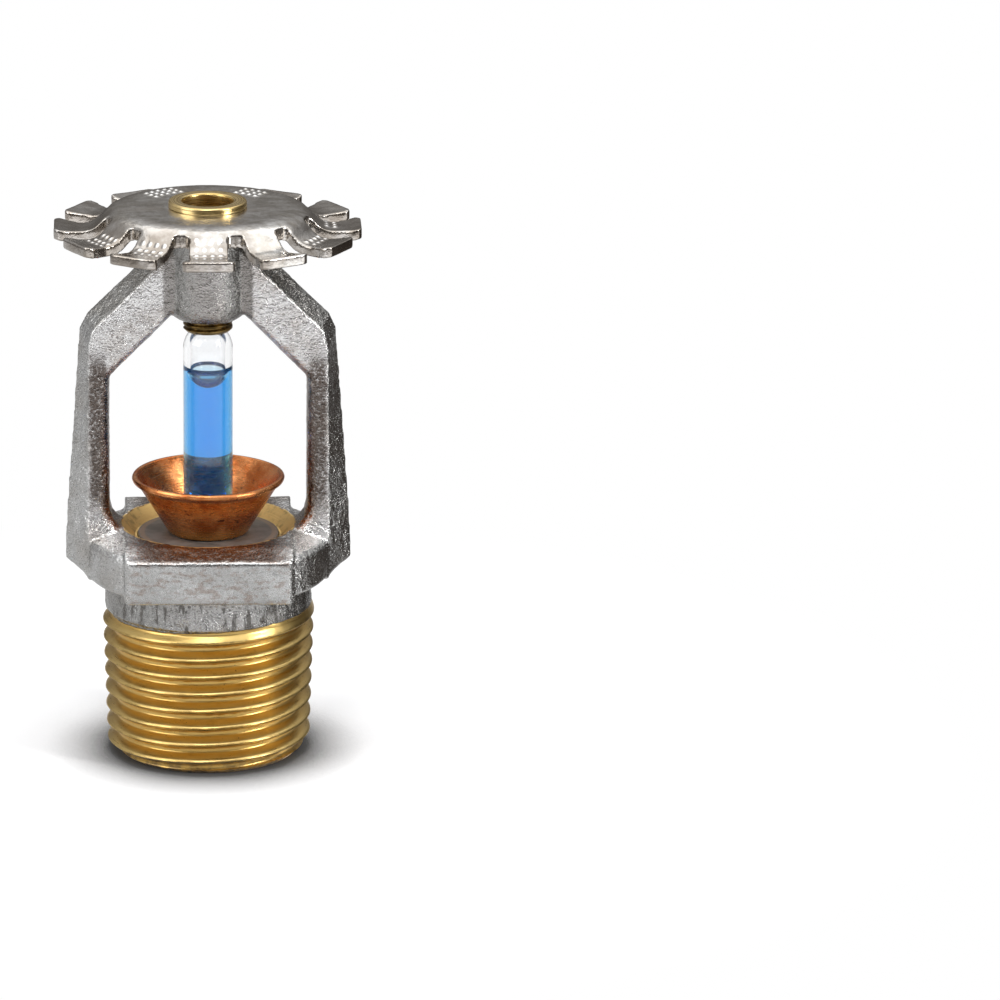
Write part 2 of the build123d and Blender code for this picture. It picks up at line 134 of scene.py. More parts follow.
def lathe(name, outline, segments, warp=None):
    """Turns a closed (r, z) outline about Z. Points on the axis become one vertex each."""
    verts, rings = [], []
    for r, z in outline:
        if r < 1e-6:
            rings.append([len(verts)])
            verts.append((0, 0, z))
            continue
        ring = []
        for i in range(segments):
            angle = 2 * math.pi * i / segments
            radius, height = (r, z) if warp is None else warp(r, z, angle)
            ring.append(len(verts))
            verts.append((radius * math.cos(angle), radius * math.sin(angle), height))
        rings.append(ring)
    faces = []
    for k, ring in enumerate(rings):
        following = rings[(k + 1) % len(rings)]
        if len(ring) == 1 and len(following) == 1:
            continue
        for i in range(segments):
            j = (i + 1) % segments
            if len(ring) == 1:
                faces.append((ring[0], following[j], following[i]))
            elif len(following) == 1:
                faces.append((ring[i], ring[j], following[0]))
            else:
                faces.append((ring[i], ring[j], following[j], following[i]))
    return new_object(name, verts, faces)


def apply_modifiers(piece):
    depsgraph = bpy.context.evaluated_depsgraph_get()
    mesh = bpy.data.meshes.new_from_object(piece.evaluated_get(depsgraph))
    piece.modifiers.clear()
    old = piece.data
    piece.data = mesh
    bpy.data.meshes.remove(old)


def boolean(piece, tool, operation):
    modifier = piece.modifiers.new("b", "BOOLEAN")
    modifier.operation = operation
    modifier.object = tool
    modifier.solver = "MANIFOLD"
    apply_modifiers(piece)
    bpy.data.objects.remove(tool)


def remesh(piece, voxel, smooth_passes):
    voxels = piece.modifiers.new("r", "REMESH")
    voxels.mode = "VOXEL"
    voxels.voxel_size = voxel * MM
    voxels.adaptivity = 0
    smoothing = piece.modifiers.new("s", "SMOOTH")
    smoothing.factor = 0.5
    smoothing.iterations = smooth_passes
    apply_modifiers(piece)


def get_points(piece):
    points = np.empty(len(piece.data.vertices) * 3, np.float64)
    piece.data.vertices.foreach_get("co", points)
    return points.reshape(-1, 3) / MM


def get_normals(piece):
    normals = np.empty(len(piece.data.vertices) * 3, np.float32)
    piece.data.vertices.foreach_get("normal", normals)
    return normals.reshape(-1, 3).astype(float)


def set_points(piece, points):
    piece.data.vertices.foreach_set("co", (points * MM).astype(np.float32).ravel())
    piece.data.update()


def surface_noise(points, layers):
    """The sum of smooth noises, each given as (height, bump size, offset), the same every run."""
    return sum(
        height
        * np.array(
            [
                noise.noise((x / size + offset, y / size - offset, z / size + 2 * offset))
                for x, y, z in points
            ]
        )
        for height, size, offset in layers
    )


def smooth_to_edges(piece, angle):
    """Smooth shading, with edges sharper than angle degrees kept as edges."""
    set_smooth(piece)
    with editing(piece.data) as edit:
        for edge in edit.edges:
            if len(edge.link_faces) == 2:
                edge.smooth = edge.calc_face_angle(0) < math.radians(angle)


def smoothstep(x, start, end):
    t = np.clip((x - start) / (end - start), 0, 1)
    return t * t * (3 - 2 * t)


def install(piece, body, node):
    """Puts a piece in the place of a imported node."""
    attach(piece, body)
    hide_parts(node)


# --------------------------------------------------------------------------
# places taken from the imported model, and dimensions that pieces share
# --------------------------------------------------------------------------
def span_z(node):
    """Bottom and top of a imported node."""
    low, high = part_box(node)
    return low[2] / MM, high[2] / MM


def max_x(node):
    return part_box(node)[1][0] / MM


BOSS_TOP = span_z("frame")[1]
BUSH_BOTTOM, BUSH_TOP = span_z("deflector_bushing")
CAP_BOTTOM = span_z("pip_cap")[0]
INSERT_TOP = span_z("pip_cap_insert")[1] - 0.02
LIQUID_TOP = span_z("bulb_liquid")[1]
WASHER_SPANS = {n: span_z(n) for n in ("seal_spring", "seal_film_upper", "seal_film_lower")}

GLASS_R = max_x("bulb_glass")
HOLLOW_R = max_x("bulb_liquid") + 0.012
LIQUID_R = HOLLOW_R + 0.01
# centres of the bulb's lower and upper round ends
BULB_FOOT_Z = 27.35
BULB_DOME_Z = span_z("bulb_glass")[1] - 2.5

PITCH = 25.4 / 14
THREAD_R0 = 10.357  # crest radius at z = 0
TAPER = 32.0  # height over which the crest radius grows by 1
PHASE_Z = 1.10  # height of a groove's centre at +X
FLANGE_Z0 = 18.55
CROWN_Z = 23.9
WATERWAY_R = 6.35

# --------------------------------------------------------------------------
# frame, upper part: flange, yoke arms and boss as cast and plated
# --------------------------------------------------------------------------
# radius, bottom, top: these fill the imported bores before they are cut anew
PLUGS = [(8.95, 12.0, CROWN_Z), (2.85, 45.5, BOSS_TOP), (3.5, 50.0, BOSS_TOP)]

SEAT_R, SEAT_Z = 7.45, 22.65  # foot of the seat's cone
SEAT_RISE = 2.2
SEAT_RIM_R = SEAT_R + 1.08 * SEAT_RISE
# r, z of the waterway and seat cutter
SEAT_CUTTER = [
    (0, 15.0), (6.60, 15.0), (6.60, 18.60), (WATERWAY_R, 18.70), (WATERWAY_R, 21.8),
    (6.47, 22.05), (7.25, 22.05), (7.25, SEAT_Z), (SEAT_R, SEAT_Z),
    (SEAT_RIM_R, SEAT_Z + SEAT_RISE), (SEAT_RIM_R, 28.0), (0, 28.0),
]
# r, z of the cutter for the boss's stepped bore and flat top
BORE_CUTTER = [
    (0, 44.0), (2.54, 44.0), (2.54, 53.9), (3.142, 53.9),
    (3.142, BOSS_TOP), (9.0, BOSS_TOP), (9.0, 60.0), (0, 60.0),
]
# height, bump size, offset
CASTING_NOISE = [(0.040, 0.46, 3.1), (0.026, 0.95, 7.7), (0.055, 3.6, 1.3)]


def roughen_casting(casting):
    """Cast bumps, calmer on the flange's flats and none at the cut foot or the boss's top."""
    points = get_points(casting)
    normals = get_normals(casting)
    x, y, z = points.T
    above_foot = smoothstep(z, FLANGE_Z0 - 0.1, FLANGE_Z0 + 0.4)
    below_top = 1 - smoothstep(z, BOSS_TOP - 0.5, BOSS_TOP - 0.15)
    calm = np.where((np.abs(y) > 11.2) & (np.abs(x) < 8.3), 0.45, 1.0)
    bumps = surface_noise(points, CASTING_NOISE)
    points += normals * (bumps * calm * above_foot * below_top)[:, None]
    set_points(casting, points)


def build_casting():
    casting = copy_of("frame", "frame_casting")
    with editing(casting.data) as edit:
        for radius, bottom, top in PLUGS:
            bmesh.ops.create_cone(
                edit,
                cap_ends=True,
                segments=96,
                radius1=radius * MM,
                radius2=radius * MM,
                depth=(top - bottom) * MM,
                matrix=Matrix.Translation((0, 0, (bottom + top) / 2 * MM)),
            )
    remesh(casting, voxel=0.17, smooth_passes=7)
    # the neck and thread below the flange are a piece of their own
    with editing(casting.data) as edit:
        cut = bmesh.ops.bisect_plane(
            edit,
            geom=edit.verts[:] + edit.edges[:] + edit.faces[:],
            plane_co=(0, 0, (FLANGE_Z0 - 0.3) * MM),
            plane_no=(0, 0, 1),
            clear_inner=True,
        )
        edges = [e for e in cut["geom_cut"] if isinstance(e, bmesh.types.BMEdge)]
        bmesh.ops.holes_fill(edit, edges=edges, sides=0)
        edit.normal_update()
    roughen_casting(casting)

    # machined after casting: waterway, seat, bore and the top face
    seat_tool = lathe("tool", dense(SEAT_CUTTER, 0.4), 192)
    bore_tool = lathe("tool2", dense(BORE_CUTTER, 0.6), 128)
    boolean(casting, seat_tool, "DIFFERENCE")
    boolean(casting, bore_tool, "DIFFERENCE")
    smooth_to_edges(casting, 40)
    install(casting, "frame", "frame")
    return casting


casting = build_casting()

# --------------------------------------------------------------------------
# frame, lower part: neck, tapered pipe thread and waterway
# --------------------------------------------------------------------------
COLUMNS = 288  # columns of vertices in one turn
ROWS = 16  # rows of vertices in one pitch
GRID_Z = -1.2
GRID_TOP = 20.2
TURN_ROWS = int(math.ceil((GRID_TOP - GRID_Z) / PITCH)) * ROWS
COLUMN_LENGTH = TURN_ROWS + ROWS + 1

GROOVE_DEPTH = 1.10
FLANK_SLOPE = 1.732
CREST_HALF_WIDTH = 0.07
CREST_ROUNDING = 0.075
FLOOR_ROUNDING = 0.03
CREST_LEVEL = -0.121  # flank height at mid-crest, which sets the zero of depth
RUNOUT_Z, RUNOUT_HEIGHT = 14.25, 1.85
NECK_Z, NECK_BLEND = 14.95, 0.45
NECK_R = 10.52

# r, z of the solid within which the thread is kept
THREAD_ENVELOPE = [
    (8.1, 0.0), (9.057, 0.0), (10.396, 1.25), (11.6, 1.75), (11.6, FLANGE_Z0 + 0.2),
    (WATERWAY_R, FLANGE_Z0 + 0.2), (WATERWAY_R, 13.3), (7.6, 0.5),
]


def soft_positive(value, rounding):
    """The value where positive and 0 where negative, with a rounded bend between."""
    return 0.5 * (value + math.sqrt(value * value + rounding * rounding))


def thread_radius(theta, z):
    """Radius of the thread and the neck's share of it; theta in turns from +X towards +Y."""
    turns = (z - PHASE_Z) / PITCH - theta
    from_crest = abs(turns % 1.0 - 0.5) * PITCH
    flank = soft_positive(FLANK_SLOPE * (from_crest - CREST_HALF_WIDTH), CREST_ROUNDING)
    flank -= soft_positive(CREST_LEVEL, CREST_ROUNDING)
    drop = GROOVE_DEPTH - soft_positive(GROOVE_DEPTH - flank, FLOOR_ROUNDING)
    # the groove's own height runs on from turn to turn, and sets how far it has run out
    groove_z = PHASE_Z + (math.floor(turns + 0.5) + theta) * PITCH
    fade = 1 - smoothstep(groove_z, RUNOUT_Z, RUNOUT_Z + RUNOUT_HEIGHT)
    neck_z = NECK_Z + 0.25 * math.sin(2 * math.pi * (theta + 0.45))
    return THREAD_R0 + z / TAPER - drop * fade, smoothstep(z, neck_z, neck_z + NECK_BLEND)


def neck_radius(x, y, z):
    """Radius of the rough neck in the direction (x, y), a unit vector."""
    marks = noise.noise((x * 9.0, y * 9.0, z * 0.55))
    deep = max(0.0, noise.noise((x * 6.5 + 9, y * 6.5 - 4, z * 0.35)) - 0.30)
    fine = noise.noise((x * 24.0, y * 24.0, z * 2.2))
    flare = 0.30 * max(0.0, (z - 17.6) / 0.95) ** 2
    return NECK_R + 0.06 * marks - 0.55 * deep + 0.05 * fine + flare


def thread_vertices():
    """Columns of vertices whose rows climb one pitch in a turn, then the two end points."""
    verts = []
    for i in range(COLUMNS):
        theta = i / COLUMNS
        x = math.cos(2 * math.pi * theta)
        y = math.sin(2 * math.pi * theta)
        for j in range(COLUMN_LENGTH):
            z = GRID_Z + (j / ROWS - 1 + theta) * PITCH
            radius, neck = thread_radius(theta, z)
            if neck > 0:
                radius = radius * (1 - neck) + neck_radius(x, y, z) * neck
            if neck < 1:
                nick = noise.noise((x * 30, y * 30, z * 1.1))
                radius += (1 - neck) * (0.012 * nick - 0.05 * max(0.0, nick - 0.42))
            verts.append((radius * x, radius * y, z))
    verts.append((0, 0, GRID_Z - PITCH - 0.5))
    verts.append((0, 0, GRID_Z + (TURN_ROWS / ROWS + 1) * PITCH + 0.5))
    return verts


def thread_vertex(i, j):
    """Index of row j in column i; after a full turn the first column is met one pitch up."""
    return j + ROWS if i == COLUMNS else i * COLUMN_LENGTH + j


def thread_faces():
    faces = []
    for i in range(COLUMNS):
        rows = COLUMN_LENGTH - 1 - (ROWS if i == COLUMNS - 1 else 0)
        for j in range(rows):
            corners = ((i, j), (i + 1, j), (i + 1, j + 1), (i, j + 1))
            faces.append(tuple(thread_vertex(*corner) for corner in corners))
    # each end is closed by a fan over its helical edge and the step where the turns meet
    last = COLUMN_LENGTH - 1
    bottom = [thread_vertex(i, 0) for i in range(COLUMNS)] + list(range(ROWS, 0, -1))
    top = [thread_vertex(i, last) for i in range(COLUMNS)]
    top += [thread_vertex(COLUMNS - 1, j) for j in range(last - 1, last - ROWS - 1, -1)]
    low_point = COLUMNS * COLUMN_LENGTH
    high_point = low_point + 1
    for k in range(len(bottom)):
        faces.append((bottom[k], low_point, bottom[(k + 1) % len(bottom)]))
    for k in range(len(top)):
        faces.append((top[(k + 1) % len(top)], high_point, top[k]))
    return faces


thread = new_object("frame_inlet_thread", thread_vertices(), thread_faces())
boolean(thread, lathe("tool3", THREAD_ENVELOPE, 300), "INTERSECT")
smooth_to_edges(thread, 50)
install(thread, "frame", "frame")

# --------------------------------------------------------------------------
# deflector: pressed plate with softened edges and plain stamped dots
# --------------------------------------------------------------------------
# height, bump size, offset
PLATE_NOISE = [(0.030, 2.6, 5.2), (0.012, 0.8, 2.2)]
# azimuth in degrees from +X, radius of the patch's middle, rows, dots per row
DOT_PATCHES = [
    (128, 7.3, 3, 5), (52, 7.2, 3, 4), (211, 12.4, 3, 4), (241, 12.0, 3, 4),
    (270, 11.8, 4, 4), (331, 12.4, 2, 4), (2, 12.4, 2, 3),
]
DOT_ROW_PITCH = 0.78
DOT_PITCH = 0.80
DOT_SPREAD = 0.18
DOT_HEIGHT = 0.15


def dot_lift(points):
    """How far each point lies on a dot, 0..1."""
    lift = np.zeros(len(points))
    for azimuth, patch_radius, rows, per_row in DOT_PATCHES:
        for row in range(rows):
            for k in range(per_row):
                radius = patch_radius + (row - (rows - 1) / 2) * DOT_ROW_PITCH
                angle = math.radians(azimuth) + (k - (per_row - 1) / 2) * DOT_PITCH / radius
                x, y = radius * math.cos(angle), radius * math.sin(angle)
                square = (points[:, 0] - x) ** 2 + (points[:, 1] - y) ** 2
                lift = np.maximum(lift, np.exp(-square / (2 * DOT_SPREAD**2)))
    return lift


def build_plate():
    plate = copy_of("deflector", "deflector_plate")
    remesh(plate, voxel=0.135, smooth_passes=4)
    points = get_points(plate)
    normals = get_normals(plate)
    radius = np.hypot(points[:, 0], points[:, 1])
    off_hole = smoothstep(radius, 3.3, 4.2)
    points += normals * (off_hole * surface_noise(points, PLATE_NOISE))[:, None]
    lift = dot_lift(points)
    facing_up = smoothstep(normals[:, 2], 0.3, 0.75)
    points[:, 2] += DOT_HEIGHT * lift * facing_up
    set_points(plate, points)
    # the plate's material reads this attribute
    mark = plate.data.attributes.new("dot", "FLOAT", "POINT")
    mark.data.foreach_set("value", (lift * facing_up).astype(np.float32))
    set_smooth(plate)
    install(plate, "frame", "deflector")
    return plate


plate = build_plate()


# --------------------------------------------------------------------------
# turned and spun pieces; outlines are r, z and corner radius
# --------------------------------------------------------------------------
def turned(name, outline, arc_steps, step, segments, warp=None):
    piece = lathe(name, dense(rounded(outline, arc_steps), step), segments, warp)
    smooth_to_edges(piece, 60)
    return piece


bush_shift = BUSH_BOTTOM - 53.95
BUSHING = [
    (2.60, 53.95 + bush_shift),
    (2.98, 53.95 + bush_shift),
    (3.13, 54.10 + bush_shift),
    (3.13, 57.062 + bush_shift),
    (3.95, 57.062 + bush_shift, 0.06),
    (3.95, BUSH_TOP, 0.28),
    (2.60, BUSH_TOP, 0.30),
]
bushing = turned("deflector_bushing_turned", BUSHING, arc_steps=8, step=0.25, segments=160)
install(bushing, "frame", "deflector_bushing")

CUP_BOTTOM = 20.95
CUP = [
    (0, CUP_BOTTOM, 0), (3.45, CUP_BOTTOM, 0.15), (3.45, 21.55, 0.2), (3.00, 21.90, 0.15),
    (3.00, 23.07, 0.04), (4.05, 23.07, 0.3), (5.90, 26.08, 3.0), (7.10, 28.02, 1.2),
    (7.66, 28.42, 0.2), (7.76, 28.70, 0.2), (7.60, 28.97, 0.2), (7.28, 28.95, 0.2),
    (6.92, 28.42, 0.9), (4.12, 23.74, 0.35), (3.75, 23.57, 0.2), (2.50, 23.57, 0.04),
    (2.50, 21.45, 0.15), (0, 21.45, 0),
]


def cup_warp(r, z, angle):
    """Bends the cup slightly out of round, more towards its rim."""
    up = max(0.0, (z - 26.0) / 3.0)
    out = 0.035 * up * math.sin(2 * angle + 0.6) + 0.018 * up * math.sin(5 * angle + 1.0)
    return r + out, z + 0.03 * up * math.sin(3 * angle + 2.0)


cup_shift = CAP_BOTTOM - CUP_BOTTOM
cup_outline = [(r, z + cup_shift, corner) for r, z, corner in CUP]
cup = turned("pip_cap_cup", cup_outline, arc_steps=6, step=0.3, segments=192, warp=cup_warp)
install(cup, "pip_cap", "pip_cap")

INSERT = [
    (0, 21.462), (2.488, 21.462, 0.1), (2.488, 23.582, 0.04), (3.869, 23.582, 0.1),
    (4.069, 24.07, 0.2), (4.069, INSERT_TOP, 0.25), (1.917, INSERT_TOP, 0.12),
    (0.85, 24.934, 0.08), (0.85, 23.75, 0.05), (0, 23.75),
]
insert = turned("pip_seat_insert", INSERT, arc_steps=6, step=0.25, segments=128)
install(insert, "pip_cap", "pip_cap_insert")

WASHER_INNER_R, WASHER_OUTER_R = 3.05, 7.15


def build_washer(name, node, thickness, edge):
    """A coned washer, higher at its hole."""
    bottom, top = WASHER_SPANS[node]
    rise = (top - bottom) - thickness
    outline = [
        (WASHER_INNER_R, bottom + rise, edge),
        (WASHER_OUTER_R, bottom, edge),
        (WASHER_OUTER_R, bottom + thickness, edge),
        (WASHER_INNER_R, bottom + rise + thickness, edge),
    ]
    washer = turned(name, outline, arc_steps=5, step=0.3, segments=160)
    install(washer, "pip_cap", node)
    return washer


spring = build_washer("seal_disc_spring", "seal_spring", 0.55, 0.12)
film_top = build_washer("seal_film_top", "seal_film_upper", 0.13, 0.04)
film_bottom = build_washer("seal_film_bottom", "seal_film_lower", 0.13, 0.04)

# --------------------------------------------------------------------------
# bulb
# --------------------------------------------------------------------------
BULB_SEGMENTS = 128
DOWN, LEVEL, UP = 0, math.pi / 2, math.pi
TIP_R, TIP_Z = 0.62, 24.72  # small round tip under the bulb
STEM_R = 0.78  # where the lower round end starts, above the tip
# radius and depth below the liquid's top, of the bowl-shaped surface under the bubble
BOWL = [
    (LIQUID_R, 0.0), (1.785, 0.12), (1.73, 0.27), (1.63, 0.43), (1.54, 0.62), (1.46, 0.90),
    (1.34, 1.20), (1.12, 1.55), (0.78, 1.88), (0.40, 2.07), (0.0, 2.13),
]


def arc(radius, centre_z, start, end, count):
    """Points on a circle; angles are measured from straight down."""
    angles = np.linspace(start, end, count)
    return [(radius * math.sin(t), centre_z - radius * math.cos(t)) for t in angles]


def wall(radius, start_z, end_z, steps):
    """Points between two heights, without the ends."""
    return [(radius, start_z + (end_z - start_z) * k / steps) for k in range(1, steps)]


def build_glass():
    outer = [(0, TIP_Z - TIP_R)]
    outer += arc(TIP_R, TIP_Z, 0.15, 1.45, 8)
    outer += arc(GLASS_R, BULB_FOOT_Z, math.asin(STEM_R / GLASS_R), LEVEL, 22)
    outer += wall(GLASS_R, BULB_FOOT_Z, BULB_DOME_Z, 30)
    outer += arc(GLASS_R, BULB_DOME_Z, LEVEL, UP, 28)[:-1]
    outer.append((0, BULB_DOME_Z + GLASS_R))
    hollow = [(0, BULB_DOME_Z + HOLLOW_R)]
    hollow += arc(HOLLOW_R, BULB_DOME_Z, UP, LEVEL, 28)[1:]
    hollow += wall(HOLLOW_R, BULB_DOME_Z, BULB_FOOT_Z, 30)
    hollow += arc(HOLLOW_R, BULB_FOOT_Z, LEVEL, DOWN, 22)[:-1]
    hollow.append((0, BULB_FOOT_Z - HOLLOW_R))
    bulb = lathe("bulb_glass_shell", outer + hollow, BULB_SEGMENTS)
    # the hollow is a surface of its own, so its faces are turned to look into the hollow
    outer_verts = sum(1 if r < 1e-6 else BULB_SEGMENTS for r, z in outer)
    with editing(bulb.data) as edit:
        inside = [f for f in edit.faces if f.verts[0].index >= outer_verts]
        bmesh.ops.reverse_faces(edit, faces=inside)
    install(bulb, "bulb", "bulb_glass")
    return bulb


def build_liquid():
    outline = [(0, BULB_FOOT_Z - LIQUID_R)]
    outline += arc(LIQUID_R, BULB_FOOT_Z, DOWN, LEVEL, 22)[1:]
    outline += wall(LIQUID_R, BULB_FOOT_Z, LIQUID_TOP, 24)
    outline.append((LIQUID_R, LIQUID_TOP))
    # the bowl is smoothed along its length, less towards its ends
    radii, depths = zip(*BOWL)
    along = np.concatenate([[0], np.cumsum(np.hypot(np.diff(radii), np.diff(depths)))])
    length = along[-1]
    fine = np.linspace(0, length, 200)
    fine_radii = np.interp(fine, along, radii)
    fine_depths = np.interp(fine, along, depths)
    for t in np.linspace(0, length, 56)[1:-1]:
        reach = min(t, length - t, 0.30) / 2.2 + 1e-4
        weights = np.exp(-(((t - fine) / reach) ** 2))
        weights /= np.sum(weights)
        outline.append((float(weights @ fine_radii), LIQUID_TOP - float(weights @ fine_depths)))
    outline.append((0, LIQUID_TOP - depths[-1]))
    liquid = lathe("bulb_liquid_fill", outline, BULB_SEGMENTS)
    install(liquid, "bulb", "bulb_liquid")
    return liquid


bulb = build_glass()
liquid = build_liquid()


# --------------------------------------------------------------------------
# shader helpers
# --------------------------------------------------------------------------
class Value:
    """An output socket; each operator on it adds one Math node."""

    def __init__(self, graph, socket):
        self.graph = graph
        self.socket = socket

    def __add__(self, other):
        return self.graph.math("ADD", self, other)

    def __radd__(self, other):
        return self.graph.math("ADD", other, self)

    def __sub__(self, other):
        return self.graph.math("SUBTRACT", self, other)

    def __rsub__(self, other):
        return self.graph.math("SUBTRACT", other, self)

    def __mul__(self, other):
        return self.graph.math("MULTIPLY", self, other)

    def __truediv__(self, other):
        return self.graph.math("DIVIDE", self, other)

    def __abs__(self):
        return self.graph.math("ABSOLUTE", self)

    def step(self, start, end, low=0.0, high=1.0):
        """Eases from low to high as the value goes from start to end (start may be higher)."""
        return self.graph.value(
            "ShaderNodeMapRange",
            {"Value": self, "From Min": start, "From Max": end, "To Min": low, "To Max": high},
            interpolation_type="SMOOTHSTEP",
        )


class Graph:
    """Builds the node tree of a material or world; places are in millimetres."""

    def __init__(self, owner, output="ShaderNodeOutputMaterial"):
        owner.use_nodes = True
        self.owner = owner
        self.tree = owner.node_tree
        self.tree.nodes.clear()
        self.output = self.tree.nodes.new(output)

    def value(self, kind, inputs=None, output=0, **props):
        """Adds a node and gives one of its outputs."""
        node = self.node(kind, inputs, **props)
        return Value(self, node.outputs[output])

    def node(self, kind, inputs=None, **props):
        node = self.tree.nodes.new(kind)
        for key, setting in props.items():
            setattr(node, key, setting)
        for key, given in (inputs or {}).items():
            socket = node.inputs[key]
            if isinstance(given, Value):
                self.tree.links.new(given.socket, socket)
            elif socket.type == "RGBA":
                socket.default_value = (*given, 1)
            else:
                socket.default_value = given
        return node

    def connect(self, value, index=0):
        self.tree.links.new(value.socket, self.output.inputs[index])

    @cached_property
    def point(self):
        return self.scaled(self.value("ShaderNodeTexCoord", output="Object"), 1000.0)

    @cached_property
    def axes(self):
        return self.split(self.point)

    def split(self, vector):
        node = self.node("ShaderNodeSeparateXYZ", {0: vector})
        return [Value(self, socket) for socket in node.outputs]

    def scaled(self, vector, scale):
        return self.value("ShaderNodeVectorMath", {0: vector, "Scale": scale}, operation="SCALE")

    def squashed(self, factors, vector=None):
        inputs = {0: vector or self.point, 1: factors}
        return self.value("ShaderNodeVectorMath", inputs, operation="MULTIPLY")

    def math(self, operation, first, second=0.0):
        return self.value("ShaderNodeMath", {0: first, 1: second}, operation=operation)

    def length(self, x, y):
        return self.math("SQRT", x * x + y * y)

    def radius(self):
        x, y, z = self.axes
        return self.length(x, y)

    def noise(self, scale, detail=3.0, rough=0.55, vector=None):
        inputs = {
            "Vector": vector or self.point,
            "Scale": scale,
            "Detail": detail,
            "Roughness": rough,
        }
        return self.value("ShaderNodeTexNoise", inputs, "Fac")

    def tool_marks(self, x, y, z):
        """Noise over squeezed coordinates, which draws it out into lines."""
        vector = self.value("ShaderNodeCombineXYZ", {0: x, 1: y, 2: z})
        return self.noise(scale=1.0, rough=0.6, vector=vector)

    def mix(self, amount, first, second):
        """Mixes two colours."""
        return self.value("ShaderNodeMix", {0: amount, 6: first, 7: second}, 2, data_type="RGBA")

    def blend(self, amount, first, second):
        """Mixes two numbers."""
        return self.value("ShaderNodeMix", {0: amount, 2: first, 3: second}, data_type="FLOAT")

    def coat(self, color, *layers):
        """Lays colours over a base, each given as (amount, colour)."""
        for amount, layer in layers:
            color = self.mix(amount, color, layer)
        return color

    def mix_shader(self, amount, first, second):
        return self.value("ShaderNodeMixShader", {0: amount, 1: first, 2: second})

    def bump(self, height, depth, strength=1.0):
        inputs = {"Height": height, "Distance": depth * MM, "Strength": strength}
        return self.value("ShaderNodeBump", inputs)

    def metal(self, color, rough, height, depth, strength=1.0, metallic=1.0):
        """The opaque surface, with bumps of the given depth."""
        inputs = {
            "Base Color": color,
            "Metallic": metallic,
            "Roughness": rough,
            "Normal": self.bump(height, depth, strength),
        }
        self.connect(self.value("ShaderNodeBsdfPrincipled", inputs))

    def give(self, *pieces):
        for piece in pieces:
            faces = piece.data.polygons
            piece.data.materials.clear()
            piece.data.materials.append(self.owner)
            faces.foreach_set("material_index", [0] * len(faces))


def new_material(name):
    return Graph(bpy.data.materials.new(name))


